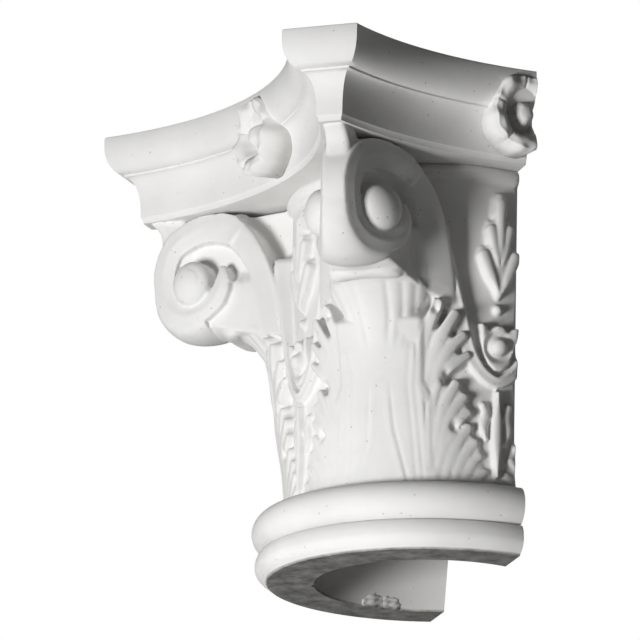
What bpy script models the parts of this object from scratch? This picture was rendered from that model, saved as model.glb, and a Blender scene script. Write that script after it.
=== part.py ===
"""A half Corinthian capital, cast in white plaster as one hollow shell.

It stands on the flat underside of its ring. Z is the axis of the column it crowns, -Y is its front face
and the two half faces look towards +X and -X. The carving is worked out for the corner between the front
and the +X half face, and mirrored to the other corner. A corner point is given by three numbers: its reach
along the diagonal, its offset across the diagonal and its height.
"""
import math

import bmesh
import bpy
from mathutils import Vector

# Overall sizes
HEIGHT = 0.343
BELL_RADIUS = 0.100
BELL_TOP_RADIUS = 0.102
LIP_RADIUS = 0.1065
LIP_HEIGHT = 0.011
NECK_RISE = 0.008

# Hollow, which narrows above its mouth and runs out through the top
BORE_MOUTH_RADIUS = 0.083
BORE_RADIUS = 0.074
BORE_TAPER_HEIGHT = 0.040

# Ring at the foot: an upper and a lower torus with a groove between them
RING_HEIGHT = 0.049
RING_RADIUS = 0.1275
RING_TOP_RADIUS = 0.113
LOWER_TORUS_RADIUS = 0.1250
LOWER_TORUS_HEIGHT = 0.021
GROOVE_RADIUS = 0.1185
UNDERSIDE_RADIUS = 0.109

# Abacus: four hollow sides between corners cut off square to the diagonals
ABACUS_HEIGHT = 0.062
HORN_REACH = 0.193
HORN_SIDE = 0.154
FACE_REACH = 0.1445
MOULDING_INSET = 0.024
ABACUS_EDGE_HEIGHT = 0.008
ABACUS_ROUND_HEIGHT = 0.019
ABACUS_HOLLOW_HEIGHT = 0.023
ABACUS_FILLET = 0.0015
ABACUS_BEVEL_HEIGHT = 0.004

# Back cut: how far it passes behind the axis, and how far it is turned out of square
BACK_OFFSET = 0.032
BACK_TURN = math.radians(9.5)

# Corner volutes, one on each flank of a wedge that narrows to a front band
EYE_REACH = 0.177
EYE_HEIGHT = 0.229
EYE_RADIUS = 0.0165
EYE_RISE = 0.010
FRONT_BAND_REACH = 0.207
FRONT_BAND_HALF = 0.011
FLANK_SLOPE = math.tan(math.radians(17))
FLANK_SINK = 0.004
SPIRAL_TOP = 0.0435
SPIRAL_END = 0.019
SPIRAL_TURNS = 1.72
SPIRAL_SQUASH = 0.84
SPIRAL_HALF_WIDTH = 0.0068
SPIRAL_END_HALF_WIDTH = 0.0042
SPIRAL_RISE = 0.0045
STRUT_REACH = 0.201
STRUT_HALF = 0.0078
STRUT_DEPTH = 0.030
STRUT_FOOT_RISE = 0.007
STRUT_OVERLAP = 0.006

# Stems that carry the volutes down the bell to the middle of each face
STEM_HALF_WIDTH = 0.0095
STEM_END_HALF_WIDTH = 0.0045
STEM_RISE = 0.007
RIDGE_ROOT = 0.012

# Corner leaves
LEAF_SPREAD = math.radians(43)
LEAF_TIP_SPREAD = math.radians(8)
LEAF_TIP_REACH = 0.156
LEAF_TIP_HEIGHT = 0.189
LEAF_TIP_DROOP = 0.0035
LEAF_RISE = 0.006
LEAF_THICKNESS = 0.009
LEAF_EDGE_DROOP = 0.016
LEAF_TIP_THINNING = 0.004
LEAF_TIERS = 3
LEAF_LOBES_END = 0.66
LEAF_NOTCH = 0.15
LEAF_RIB = 0.0015
LEAF_LOBE_RISE = 0.0045

# Ornaments on the middle of each face
FLEURON_RADIUS = 0.034
FLEURON_RISE = 0.017
FLEURON_PETALS = 5
PALMETTE_FOOT = 0.183
PALMETTE_HEIGHT = 0.074
PALMETTE_HALF_WIDTH = 0.019
PALMETTE_RISE = 0.007
BUD_HEIGHT = 0.150
BUD_RADIUS = 0.0135

# How finely round shapes are divided
TURNED_STEPS = 44
ARC_STEPS = 9
QUARTER_STEPS = 4
CUT_MARGIN = 0.05


def corner_point(reach, offset, height, flank=1, corner=1):
    """A point from its reach along the diagonal and its offset towards one of the two faces beside it."""
    return Vector((
        corner * (reach + flank * offset) / math.sqrt(2),
        -(reach - flank * offset) / math.sqrt(2),
        height,
    ))


def bell_point(turn, radius, height, flank=1, corner=1):
    """A point from its angle off the diagonal, measured towards the middle of a face."""
    return corner_point(radius * math.cos(turn), radius * math.sin(turn), height, flank, corner)


def bell_radius(height):
    """Radius of the plain bell at a height."""
    share = (height - RING_HEIGHT) / (HEIGHT - ABACUS_HEIGHT - RING_HEIGHT)
    return BELL_RADIUS + (BELL_TOP_RADIUS - BELL_RADIUS) * max(0.0, min(1.0, share))


def smooth_step(share):
    share = max(0.0, min(1.0, share))
    return share * share * (3 - 2 * share)


def mix(first, last, share):
    return first + (last - first) * share


def smooth_curve(stations, steps):
    """Rows of numbers along a smooth curve through the stations, the same count in each row."""
    rows = []
    last = len(stations) - 1
    for piece in range(last):
        before = stations[max(piece - 1, 0)]
        start, end = stations[piece], stations[piece + 1]
        after = stations[min(piece + 2, last)]
        for step in range(steps):
            t = step / steps
            rows.append([
                b + 0.5 * t * (c - a + (2 * a - 5 * b + 4 * c - d) * t + (3 * b - a - 3 * c + d) * t ** 2)
                for a, b, c, d in zip(before, start, end, after)
            ])
    rows.append(list(stations[last]))
    return rows


def solid(name, points, faces):
    """A mesh object from points and faces, with its faces turned outwards."""
    mesh = bpy.data.meshes.new(name)
    mesh.from_pydata([tuple(point) for point in points], [], faces)
    work = bmesh.new()
    work.from_mesh(mesh)
    bmesh.ops.recalc_face_normals(work, faces=work.faces)
    work.to_mesh(mesh)
    work.free()
    made = bpy.data.objects.new(name, mesh)
    bpy.context.scene.collection.objects.link(made)
    return made


def skin(name, loops):
    """A closed solid through a row of closed loops that all have the same number of points."""
    count = len(loops[0])
    points = [point for loop in loops for point in loop]
    faces = []
    for row in range(len(loops) - 1):
        for i in range(count):
            j = (i + 1) % count
            faces.append((row * count + i, row * count + j, (row + 1) * count + j, (row + 1) * count + i))
    faces.append(tuple(range(count)))
    faces.append(tuple(range((len(loops) - 1) * count, len(loops) * count)))
    return solid(name, points, faces)


def turned(name, profile, steps):
    """A profile of radius and height, from foot to top, turned round the axis and closed at both ends."""
    turns = [2 * math.pi * step / steps for step in range(steps)]
    return skin(name, [
        [Vector((radius * math.cos(turn), radius * math.sin(turn), height)) for turn in turns]
        for radius, height in profile
    ])


def ridge(name, stations, sides=6):
    """A rounded ridge along stations of point, outward direction, half width and rise, with a deep root."""
    loops = []
    for index, (point, outward, half_width, rise) in enumerate(stations):
        following = stations[min(index + 1, len(stations) - 1)][0]
        previous = stations[max(index - 1, 0)][0]
        along = (following - previous).normalized()
        across = along.cross(outward).normalized()
        loop = []
        for i in range(sides):
            turn = 2 * math.pi * i / sides
            stand = rise if turn < math.pi else RIDGE_ROOT
            loop.append(point + across * half_width * math.cos(turn) + outward * stand * math.sin(turn))
        loops.append(loop)
    return skin(name, loops)


def mound(name, centre, axes, segments=8, rings=5):
    """An ellipsoid with three given half axes."""
    first, second, third = axes
    points = [centre + third]
    for ring in range(1, rings):
        fall = math.pi * ring / rings
        for i in range(segments):
            turn = 2 * math.pi * i / segments
            flat = first * math.cos(turn) + second * math.sin(turn)
            points.append(centre + flat * math.sin(fall) + third * math.cos(fall))
    points.append(centre - third)
    end = len(points) - 1
    faces = []
    for i in range(segments):
        j = (i + 1) % segments
        faces.append((0, 1 + i, 1 + j))
        for ring in range(rings - 2):
            low = 1 + ring * segments
            faces.append((low + i, low + segments + i, low + segments + j, low + j))
        low = 1 + (rings - 2) * segments
        faces.append((end, low + j, low + i))
    return solid(name, points, faces)


def arc(centre, radii, start, end, steps):
    """Points along part of an ellipse, from one angle in degrees to another."""
    rows = []
    for step in range(steps + 1):
        angle = math.radians(mix(start, end, step / steps))
        rows.append((centre[0] + radii[0] * math.cos(angle), centre[1] + radii[1] * math.sin(angle)))
    return rows


def outer_profile():
    """The ring, bell and lip, from the underside up into the abacus."""
    half_lower = LOWER_TORUS_HEIGHT / 2
    half_upper = (RING_HEIGHT - LOWER_TORUS_HEIGHT) / 2
    lip_foot = HEIGHT - ABACUS_HEIGHT - LIP_HEIGHT
    lip_half = LIP_HEIGHT / 2
    profile = [(UNDERSIDE_RADIUS, 0.0)]
    lower_width = LOWER_TORUS_RADIUS - UNDERSIDE_RADIUS
    profile += arc((UNDERSIDE_RADIUS, half_lower), (lower_width, half_lower), -60, 0, 3)
    groove_width = LOWER_TORUS_RADIUS - GROOVE_RADIUS
    profile += arc((GROOVE_RADIUS, half_lower), (groove_width, half_lower), 30, 90, 2)
    upper_middle = LOWER_TORUS_HEIGHT + half_upper
    upper_width = RING_RADIUS - RING_TOP_RADIUS
    profile += arc((RING_TOP_RADIUS, upper_middle), (upper_width, half_upper), -72, 90, 7)
    profile += [(BELL_RADIUS + NECK_RISE / 2, RING_HEIGHT + NECK_RISE / 4)]
    profile += [(BELL_RADIUS + NECK_RISE / 8, RING_HEIGHT + NECK_RISE)]
    profile += [(BELL_TOP_RADIUS, lip_foot)]
    lip_width = LIP_RADIUS - BELL_TOP_RADIUS
    profile += arc((BELL_TOP_RADIUS, lip_foot + lip_half), (lip_width, lip_half), -60, 60, 3)
    profile += [(BELL_TOP_RADIUS, HEIGHT - ABACUS_HEIGHT / 2)]
    return profile


def hollow_profile():
    """The hollow, cut on past both ends."""
    taper = (BORE_MOUTH_RADIUS - BORE_RADIUS) / BORE_TAPER_HEIGHT
    return [
        (BORE_MOUTH_RADIUS + taper * CUT_MARGIN, -CUT_MARGIN),
        (BORE_RADIUS, BORE_TAPER_HEIGHT),
        (BORE_RADIUS, HEIGHT + CUT_MARGIN),
    ]


def abacus_outline(inset, height):
    """The abacus outline at an inset from its top edge: four hollow sides and four cut corners."""
    sag = HORN_REACH - FACE_REACH
    radius = (HORN_SIDE ** 2 + sag ** 2) / (2 * sag)
    reach = (HORN_REACH + HORN_SIDE) / math.sqrt(2) - inset
    centre = FACE_REACH + radius
    grown = radius + inset
    # The horn's half width is where the cut corner meets the hollow side, both moved in by the inset
    along = centre / math.sqrt(2)
    half_width = along - math.sqrt(grown ** 2 - (reach - along) ** 2)
    corner = (reach + half_width) / math.sqrt(2), (reach - half_width) / math.sqrt(2)
    swing = math.asin(corner[1] / grown)
    points = []
    for face in range(4):
        turn = math.pi / 2 * face
        for step in range(ARC_STEPS + 1):
            angle = mix(-swing, swing, step / ARC_STEPS)
            x, y = centre - grown * math.cos(angle), grown * math.sin(angle)
            points.append(Vector((
                x * math.cos(turn) - y * math.sin(turn),
                x * math.sin(turn) + y * math.cos(turn),
                height,
            )))
    return points


def abacus():
    """The abacus: a vertical edge, a round, a fillet, a hollow and a small bevel, carried round the horns."""
    foot = HEIGHT - ABACUS_HEIGHT
    round_inset = MOULDING_INSET * 0.5
    hollow_inset = MOULDING_INSET * 0.42
    edge_foot = HEIGHT - ABACUS_EDGE_HEIGHT
    hollow_top = edge_foot - ABACUS_ROUND_HEIGHT - ABACUS_FILLET
    quarter = [math.pi / 2 * step / QUARTER_STEPS for step in range(1, QUARTER_STEPS + 1)]
    rows = [(ABACUS_FILLET * 0.8, HEIGHT), (0.0, HEIGHT - ABACUS_FILLET), (0.0, edge_foot)]
    for angle in quarter:
        rows.append((round_inset * (1 - math.cos(angle)), edge_foot - ABACUS_ROUND_HEIGHT * math.sin(angle)))
    rows += [(round_inset, hollow_top)]
    for angle in quarter:
        rows.append((
            round_inset + hollow_inset * math.sin(angle),
            hollow_top - ABACUS_HOLLOW_HEIGHT * (1 - math.cos(angle)),
        ))
    rows += [(MOULDING_INSET - ABACUS_FILLET, foot + ABACUS_BEVEL_HEIGHT), (MOULDING_INSET, foot)]
    return skin("abacus", [abacus_outline(inset, height) for inset, height in rows])


def flank_offset(reach):
    """How far the volute wedge's flank stands off the diagonal at a reach."""
    return FRONT_BAND_HALF + (FRONT_BAND_REACH - reach) * FLANK_SLOPE


def spiral_place(turn):
    """Reach and height on the flank, and the share of the spiral that is done, at a turn from its top."""
    share = turn / (2 * math.pi * SPIRAL_TURNS)
    radius = SPIRAL_TOP * (SPIRAL_END / SPIRAL_TOP) ** share
    reach = EYE_REACH + radius * SPIRAL_SQUASH * math.sin(turn)
    return reach, EYE_HEIGHT + radius * math.cos(turn), share


def volute_wedge(corner):
    """The body of a corner volute, from the bell out to the front band, with its two sunk flanks."""
    outline = []
    steps = 16
    for step in range(steps + 1):
        turn = mix(math.radians(-28), math.radians(205), step / steps)
        reach, height, share = spiral_place(turn)
        half_width = mix(SPIRAL_HALF_WIDTH, SPIRAL_END_HALF_WIDTH, share)
        grow = 1 + (half_width * 0.8) / math.hypot(reach - EYE_REACH, height - EYE_HEIGHT)
        reach = EYE_REACH + (reach - EYE_REACH) * grow
        outline.append((min(reach, FRONT_BAND_REACH), EYE_HEIGHT + (height - EYE_HEIGHT) * grow))
    inner = bell_radius(EYE_HEIGHT) - 0.012
    outline += [(0.128, 0.184), (inner, 0.172), (inner, 0.262), (0.128, 0.269)]
    loops = []
    for flank, sink in ((-1, FLANK_SINK), (1, FLANK_SINK)):
        loops.append([
            corner_point(reach, flank_offset(reach) - sink * smooth_step((FRONT_BAND_REACH - reach) / 0.012),
                         height, flank, corner)
            for reach, height in outline
        ])
    return skin("volute wedge", loops)


def stem_stations(flank, corner):
    """One ridge from the curl in the middle of a face, up the bell and round the volute's spiral."""
    # Angle off the diagonal in degrees, distance out from the bell and height, from the curl upwards
    climb = [
        (43.5, 0.003, 0.1250),
        (37.0, 0.004, 0.1345),
        (32.5, 0.004, 0.1500),
        (29.5, 0.005, 0.1740),
        (26.5, 0.006, 0.2010),
        (23.5, 0.008, 0.2280),
        (20.0, 0.015, 0.2500),
    ]
    flank_out = corner_point(FLANK_SLOPE, 1, 0, flank, corner).normalized()
    knots = []
    for index, (degrees, stand_off, height) in enumerate(climb):
        turn = math.radians(degrees)
        share = index / len(climb)
        point = bell_point(turn, bell_radius(height) + stand_off, height, flank, corner)
        outward = bell_point(mix(turn, turn + 0.5, smooth_step(share * 2 - 1)), 1, 0, flank, corner)
        half_width = mix(STEM_END_HALF_WIDTH, STEM_HALF_WIDTH, smooth_step(share * 1.5))
        knots.append((*point, *outward, half_width, STEM_RISE))
    for reach, height in ((0.132, 0.2640), (0.152, 0.2715)):
        point = corner_point(reach, flank_offset(reach) - FLANK_SINK, height, flank, corner)
        knots.append((*point, *flank_out, STEM_HALF_WIDTH * 0.85, STEM_RISE + FLANK_SINK))
    stations = [
        (Vector(row[0:3]), Vector(row[3:6]).normalized(), row[6], row[7])
        for row in smooth_curve(knots, 2)
    ]
    steps = 24
    for step in range(steps + 1):
        turn = 2 * math.pi * SPIRAL_TURNS * step / steps
        reach, height, share = spiral_place(turn)
        point = corner_point(reach, flank_offset(reach) - FLANK_SINK, height, flank, corner)
        half_width = mix(SPIRAL_HALF_WIDTH, SPIRAL_END_HALF_WIDTH, share)
        stations.append((point, flank_out, half_width, SPIRAL_RISE + FLANK_SINK))
    return stations


def volute_eye(flank, corner):
    """The button in the middle of a spiral."""
    out = corner_point(FLANK_SLOPE, 1, 0, flank, corner).normalized()
    back = corner_point(-1, FLANK_SLOPE, 0, flank, corner).normalized()
    centre = corner_point(EYE_REACH, flank_offset(EYE_REACH) - FLANK_SINK, EYE_HEIGHT, flank, corner)
    return mound("volute eye", centre, (
        back * EYE_RADIUS * SPIRAL_SQUASH, Vector((0, 0, EYE_RADIUS)), out * EYE_RISE), 10, 6)


def strut(corner):
    """The narrow post between a volute and the underside of the horn above it."""
    loops = []
    for height in (EYE_HEIGHT + STRUT_FOOT_RISE, HEIGHT - ABACUS_HEIGHT + STRUT_OVERLAP):
        loops.append([
            corner_point(STRUT_REACH, -STRUT_HALF, height, 1, corner),
            corner_point(STRUT_REACH, STRUT_HALF, height, 1, corner),
            corner_point(STRUT_REACH - STRUT_DEPTH, STRUT_HALF, height, 1, corner),
            corner_point(STRUT_REACH - STRUT_DEPTH, -STRUT_HALF, height, 1, corner),
        ])
    return skin("strut", loops)


def leaf_middle(share):
    """Radius and height along the middle of a corner leaf, from its foot to its curled tip."""
    stations = [
        (0.1035, RING_HEIGHT - 0.004),
        (0.105, 0.080),
        (0.108, 0.115),
        (0.112, 0.145),
        (0.119, 0.170),
        (0.131, 0.186),
        (0.144, LEAF_TIP_HEIGHT + LEAF_TIP_DROOP),
        (LEAF_TIP_REACH, LEAF_TIP_HEIGHT),
    ]
    place = share * (len(stations) - 1)
    rows = smooth_curve(stations, 6)
    index = min(int(place * 6), len(rows) - 2)
    rest = place * 6 - index
    return [mix(a, b, rest) for a, b in zip(rows[index], rows[index + 1])]


def leaf_half_spread(share):
    """Half the angle that a corner leaf covers, drawn in between its tiers of lobes."""
    side = mix(LEAF_SPREAD, LEAF_SPREAD * 0.60, smooth_step(share / 0.6))
    side = mix(side, LEAF_TIP_SPREAD, smooth_step((share - 0.52) / 0.30))
    return side * (1 - LEAF_NOTCH * leaf_gap(share))


def leaf_gap(share):
    """One in the gap between two tiers of lobes, falling to nothing in the middle of each tier."""
    if share > LEAF_LOBES_END:
        return 0.0
    return abs(math.cos(math.pi * share / LEAF_LOBES_END * LEAF_TIERS)) ** 4


def leaf_rise(across, share):
    """How far the leaf's skin stands out from its middle line: ribs, lobes and sunk eyes between them."""
    beyond = abs(across)
    foot = 1 - smooth_step(share * 1.6)
    rib = -LEAF_RIB * math.cos(beyond * 6.5 * math.pi) * smooth_step(beyond * 5) * foot
    lobe = LEAF_LOBE_RISE * smooth_step(beyond * 2.4 - 1.0) * (1 - 1.6 * leaf_gap(share))
    lobe *= 1 - smooth_step((share - LEAF_LOBES_END) / 0.1)
    fall = LEAF_RISE * smooth_step((beyond - 0.88) / 0.12)
    return rib + lobe - fall


def corner_leaf(corner):
    """A leaf that hugs the bell under a corner and curls out beneath the volute."""
    rows, columns = 21, 16
    loops = []
    for row in range(rows + 1):
        share = row / rows
        radius, height = leaf_middle(share)
        before, after = leaf_middle(max(share - 0.02, 0)), leaf_middle(min(share + 0.02, 1))
        run = math.hypot(after[0] - before[0], after[1] - before[1])
        inward, upward = (before[1] - after[1]) / run, (after[0] - before[0]) / run
        backing = radius - BELL_RADIUS + LEAF_THICKNESS
        thickness = mix(backing, LEAF_THICKNESS, smooth_step(share * 3 - 1.4))
        thickness -= LEAF_TIP_THINNING * share ** 4
        spread = leaf_half_spread(share)
        front, back = [], []
        for column in range(columns + 1):
            across = mix(-1.0, 1.0, column / columns)
            turn = across * spread
            droop = smooth_step(share * 1.6 - 0.6) * LEAF_EDGE_DROOP * across ** 2
            rise = leaf_rise(across, share)
            front.append(bell_point(turn, radius + rise - droop, height - droop * 0.3, 1, corner))
            back_radius = radius - droop + inward * thickness
            back_height = height - droop * 0.3 + upward * thickness
            back.append(bell_point(turn, back_radius, back_height, 1, corner))
        loops.append(front + back[::-1])
    return skin("corner leaf", loops)


def face_frame(face):
    """Outward and sideways directions of a face: -1 for -X, 0 for the front, 1 for +X."""
    turn = -math.pi / 2 + face * math.pi / 2
    outward = Vector((math.cos(turn), math.sin(turn), 0))
    return outward, Vector((-outward.y, outward.x, 0))


def fleuron(face):
    """The rosette in the middle of an abacus side."""
    outward, side = face_frame(face)
    up = Vector((0, 0, 1))
    centre = outward * (FACE_REACH - MOULDING_INSET * 0.8) + up * (HEIGHT - ABACUS_HEIGHT / 2)
    pieces = [mound("fleuron boss", centre + outward * FLEURON_RISE, (
        side * FLEURON_RADIUS * 0.33, up * FLEURON_RADIUS * 0.33, outward * FLEURON_RADIUS * 0.36), 8, 5)]
    for petal in range(FLEURON_PETALS):
        turn = 2 * math.pi * (petal + 0.5) / FLEURON_PETALS
        away = side * math.sin(turn) + up * math.cos(turn)
        across = side * math.cos(turn) - up * math.sin(turn)
        lean = (away * 0.85 + outward * 0.35).normalized()
        middle = centre + away * FLEURON_RADIUS * 0.56 + outward * FLEURON_RISE * 0.55
        length, width, depth = FLEURON_RADIUS * 0.48, FLEURON_RADIUS * 0.34, FLEURON_RISE * 0.6
        pieces.append(mound(
            "fleuron petal", middle, (lean * length, across * width, lean.cross(across) * depth), 7, 4))
    pieces.append(mound("fleuron back", centre, (
        side * FLEURON_RADIUS * 0.7, up * FLEURON_RADIUS * 0.85, outward * FLEURON_RISE), 8, 5))
    return pieces


def palmette(face):
    """The spray of lobes above the curls in the middle of a face."""
    outward, side = face_frame(face)
    up = Vector((0, 0, 1))
    radius = bell_radius(PALMETTE_FOOT)
    pieces = []
    middle = outward * radius + up * (PALMETTE_FOOT + PALMETTE_HEIGHT * 0.5)
    pieces.append(mound("palmette middle", middle, (
        side * PALMETTE_HALF_WIDTH * 0.40, up * PALMETTE_HEIGHT * 0.5, outward * PALMETTE_RISE), 8, 6))
    for tier in range(3):
        for hand in (-1, 1):
            lean = math.radians(38 - 4 * tier)
            away = side * hand * math.sin(lean) + up * math.cos(lean)
            across = away.cross(outward)
            height = PALMETTE_FOOT + PALMETTE_HEIGHT * mix(0.30, 0.70, tier / 2)
            foot = outward * (radius - 0.001) + up * height
            middle = foot + side * hand * PALMETTE_HALF_WIDTH * 0.52
            length, width, depth = PALMETTE_HEIGHT * 0.21, PALMETTE_HEIGHT * 0.07, PALMETTE_RISE * 0.85
            axes = across * width, away * length, outward * depth
            pieces.append(mound("palmette lobe", middle, axes, 7, 5))
    return pieces


def bud(face):
    """The small flower held in the two curls in the middle of a face, and the leaf tip under them."""
    outward, side = face_frame(face)
    up = Vector((0, 0, 1))
    radius = bell_radius(BUD_HEIGHT)
    cup = outward * radius + up * BUD_HEIGHT
    pieces = [mound("bud", cup, (side * BUD_RADIUS * 1.1, up * BUD_RADIUS, outward * 0.0095), 9, 6)]
    for hand in (-1, 1):
        pieces.append(mound("bud leaf", cup + side * hand * 0.014 + up * 0.013, (
            side * 0.0055 + up * hand * 0.001, up * 0.011, outward * 0.007), 7, 5))
    spear = outward * (radius - 0.001) + up * 0.088
    pieces.append(mound("spear", spear, (side * 0.0085, up * 0.027, outward * 0.0065), 8, 6))
    return pieces


def box(name, low, high):
    points = [(x, y, z) for z in (low[2], high[2]) for y in (low[1], high[1]) for x in (low[0], high[0])]
    faces = [(0, 2, 3, 1), (4, 5, 7, 6), (0, 1, 5, 4), (2, 6, 7, 3), (0, 4, 6, 2), (1, 3, 7, 5)]
    return solid(name, points, faces)


def as_cutter(made):
    made.hide_render = True
    made.display_type = "WIRE"
    return made


def boolean(target, operand, operation):
    modifier = target.modifiers.new(operand.name, "BOOLEAN")
    modifier.solver = "EXACT"
    modifier.operation = operation
    if isinstance(operand, bpy.types.Collection):
        modifier.operand_type = "COLLECTION"
        modifier.collection = operand
    else:
        modifier.object = operand
    return modifier


def plaster():
    """White cast plaster, matt."""
    material = bpy.data.materials.new("plaster")
    material.use_nodes = True
    shader = material.node_tree.nodes["Principled BSDF"]
    shader.inputs["Base Color"].default_value = (0.80, 0.79, 0.77, 1)
    shader.inputs["Roughness"].default_value = 0.85
    shader.inputs["Metallic"].default_value = 0.0
    return material


def build():
    for old in list(bpy.data.objects):
        bpy.data.objects.remove(old)
    capital = turned("capital", outer_profile(), TURNED_STEPS)
    carving = [abacus()]
    for corner in (-1, 1):
        carving.append(corner_leaf(corner))
        carving.append(volute_wedge(corner))
        carving.append(strut(corner))
        for flank in (-1, 1):
            carving.append(ridge("stem and spiral", stem_stations(flank, corner)))
            carving.append(volute_eye(flank, corner))
    for face in (-1, 0, 1):
        carving += fleuron(face) + palmette(face) + bud(face)
    group = bpy.data.collections.new("carving")
    bpy.context.scene.collection.children.link(group)
    for piece in carving:
        bpy.context.scene.collection.objects.unlink(piece)
        group.objects.link(as_cutter(piece))
    boolean(capital, group, "UNION")

    bore = turned("bore", hollow_profile(), TURNED_STEPS)
    boolean(capital, as_cutter(bore), "DIFFERENCE")

    span = 2 * HORN_REACH
    back = box("back cut", (-span, 0, -CUT_MARGIN), (span, span, HEIGHT + CUT_MARGIN))
    back.rotation_euler.z = -BACK_TURN
    back.location = (BACK_OFFSET * math.sin(BACK_TURN), BACK_OFFSET * math.cos(BACK_TURN), 0)
    boolean(capital, as_cutter(back), "DIFFERENCE")

    capital.data.materials.append(plaster())
    capital.data.shade_smooth()
    capital.data.set_sharp_from_angle(angle=math.radians(35))


build()
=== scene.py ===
"""The looks of the half Corinthian capital: fine carving, plaster, light and camera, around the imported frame.

The carved zone between the ring and the abacus is worked out as relief on the bell, with the volutes as
closed shapes of their own, and fused at a fine grid. The abacus, its rosettes and the ring stay crisp.
A place on the carving is given by its angle off a corner's diagonal, in degrees (0 at the corner and 45 in
the middle of a face), and its height in millimetres. Heights of relief are in millimetres above the bell.
"""
import math

import bmesh
import bpy
import numpy as np
from mathutils import Matrix, Vector


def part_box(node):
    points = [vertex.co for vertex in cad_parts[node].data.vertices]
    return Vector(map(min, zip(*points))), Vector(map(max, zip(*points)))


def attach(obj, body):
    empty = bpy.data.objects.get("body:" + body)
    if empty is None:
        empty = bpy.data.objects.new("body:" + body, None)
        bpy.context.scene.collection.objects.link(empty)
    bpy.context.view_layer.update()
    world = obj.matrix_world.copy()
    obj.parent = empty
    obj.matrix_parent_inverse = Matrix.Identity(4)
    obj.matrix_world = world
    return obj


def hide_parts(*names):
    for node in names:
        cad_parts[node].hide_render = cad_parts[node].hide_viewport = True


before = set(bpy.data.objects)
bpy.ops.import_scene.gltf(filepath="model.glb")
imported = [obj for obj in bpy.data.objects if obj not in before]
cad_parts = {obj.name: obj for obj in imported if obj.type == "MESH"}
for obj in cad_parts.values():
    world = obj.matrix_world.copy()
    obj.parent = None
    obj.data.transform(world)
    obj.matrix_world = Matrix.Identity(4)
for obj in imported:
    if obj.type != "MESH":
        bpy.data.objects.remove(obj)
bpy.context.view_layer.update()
low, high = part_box("capital")

MM = 0.001
HEIGHT = high.z
HORN_REACH = high.x

# Sizes that the carved solid has too
BELL_RADIUS = 0.100
BELL_TOP_RADIUS = 0.102
LIP_RADIUS = 0.1065
LIP_HEIGHT = 0.011
BORE_MOUTH_RADIUS = 0.083
BORE_RADIUS = 0.074
BORE_TAPER_HEIGHT = 0.040
RING_HEIGHT = 0.049
RING_RADIUS = 0.1275
RING_TOP_RADIUS = 0.113
LOWER_TORUS_RADIUS = 0.1250
LOWER_TORUS_HEIGHT = 0.021
GROOVE_RADIUS = 0.1185
UNDERSIDE_RADIUS = 0.109
ABACUS_HEIGHT = 0.062
HORN_SIDE = 0.154
FACE_REACH = 0.1445
MOULDING_INSET = 0.024
BACK_OFFSET = 0.032
BACK_TURN = math.radians(9.5)
EYE_REACH = 0.177
EYE_HEIGHT = 0.229
FRONT_BAND_REACH = 0.207
FRONT_BAND_HALF = 0.011
FLANK_SLOPE = math.tan(math.radians(17))

# How finely the carving is worked
ANGLE_STEP = 0.375
ANGLE_END = 123.75
ROW_STEP = 0.75
CARVED_FOOT = 40.0
CARVED_TOP = 290.0
CARVED_INSIDE = 0.0755
VOXEL = 0.00095
MOST_TRIANGLES = 190000
RELIEF_RADIUS = 107.0
NAIL_HOLE = (-0.0385, -0.0705, 0)
# The fused carving and the rosettes end a hair short of the abacus and the ring at the back cut
CUT_STEP = 0.00015

BACK_NORMAL = Vector((math.sin(BACK_TURN), math.cos(BACK_TURN), 0))


def smooth_step(share):
    share = np.clip(share, 0.0, 1.0)
    return share * share * (3 - 2 * share)


def mix(first, last, share):
    return first + (last - first) * share


def smooth_curve(stations, steps):
    """Points along a smooth curve through the stations, as an array with one row for each point."""
    stations = np.array(stations, float)
    rows = []
    last = len(stations) - 1
    for piece in range(last):
        a, b = stations[max(piece - 1, 0)], stations[piece]
        c, d = stations[piece + 1], stations[min(piece + 2, last)]
        for step in range(steps):
            t = step / steps
            rows.append(0.5 * (2 * b + (c - a) * t + (2 * a - 5 * b + 4 * c - d) * t ** 2
                               + (3 * b - a - 3 * c + d) * t ** 3))
    rows.append(stations[last])
    return np.array(rows)


def corner_point(reach, offset, height, flank=1, corner=1):
    """A point from its reach along a corner's diagonal and its offset towards one of the faces beside it."""
    x, y = reach + flank * offset, reach - flank * offset
    return (corner * x / math.sqrt(2), -y / math.sqrt(2), height)


def bell_radius(height):
    """Radius of the plain bell, in metres, at heights in metres."""
    top = HEIGHT - ABACUS_HEIGHT
    share = np.clip((height - RING_HEIGHT) / (top - RING_HEIGHT), 0, 1)
    flare = 0.004 * np.exp(-np.maximum(height - RING_HEIGHT, 0) / 0.006)
    lip_middle = top - LIP_HEIGHT / 2
    lip_share = np.clip(1 - ((height - lip_middle) / (LIP_HEIGHT / 2)) ** 2, 0, 1)
    lip = (LIP_RADIUS - BELL_TOP_RADIUS) * np.sqrt(lip_share)
    return mix(BELL_RADIUS, BELL_TOP_RADIUS, share) + flare + lip


def mesh_object(name, points, faces, smooth=True):
    mesh = bpy.data.meshes.new(name)
    mesh.from_pydata([tuple(point) for point in points], [], faces)
    work = bmesh.new()
    work.from_mesh(mesh)
    bmesh.ops.recalc_face_normals(work, faces=work.faces)
    work.to_mesh(mesh)
    work.free()
    made = bpy.data.objects.new(name, mesh)
    bpy.context.scene.collection.objects.link(made)
    if smooth:
        mesh.shade_smooth()
    return made


def skin(name, loops):
    """A closed solid through a row of closed loops that all have the same number of points."""
    count = len(loops[0])
    points = [point for loop in loops for point in loop]
    faces = []
    for row in range(len(loops) - 1):
        start = row * count
        for i in range(count):
            j = (i + 1) % count
            faces.append((start + i, start + j, start + count + j, start + count + i))
    faces.append(tuple(range(count)))
    faces.append(tuple(range((len(loops) - 1) * count, len(loops) * count)))
    return mesh_object(name, points, faces)


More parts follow.
